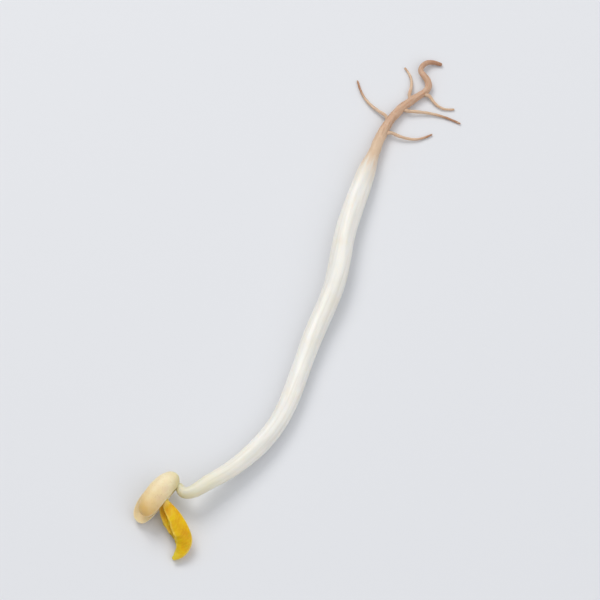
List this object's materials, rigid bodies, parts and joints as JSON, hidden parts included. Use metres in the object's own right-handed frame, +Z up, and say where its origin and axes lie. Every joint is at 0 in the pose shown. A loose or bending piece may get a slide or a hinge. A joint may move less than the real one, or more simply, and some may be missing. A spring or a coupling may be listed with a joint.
{
  "type": "mung bean sprout",
  "caption": "Mung bean sprout lying flat: bowed white stem with a hooked tip, cream seed halves, folded yellow leaves, tan taproot and fine side roots. A fresh vegetable.",
  "frame": {"origin": "on the table, under the middle of the sprout's bounding box", "axes": "+Y runs along the sprout from its head to its root, +Z points up from the table, and +X points right when the root is away from the viewer"},
  "size_m": [0.0412, 0.0714, 0.004],
  "materials": {
    "stem_white": "moist, faintly translucent white plant tissue, cream towards the hook",
    "root_tan": "dull pinkish tan root skin, browner at the tips",
    "seed_cream": "smooth cream to golden seed flesh with a soft sheen",
    "epicotyl_pale": "pale greenish cream plant tissue",
    "leaf_yellow": "bright golden yellow leaf, lighter along its margins"
  },
  "bodies": {
    "root": {"hypocotyl": "stem_white", "taproot": "root_tan", "lateral_root_1": "root_tan", "lateral_root_2": "root_tan", "lateral_root_3": "root_tan", "lateral_root_4": "root_tan", "lateral_root_5": "root_tan", "cotyledon_upper": "seed_cream", "cotyledon_lower": "seed_cream", "epicotyl": "epicotyl_pale", "primary_leaf_upper": "leaf_yellow", "primary_leaf_lower": "leaf_yellow"}
  },
  "joints": []
}
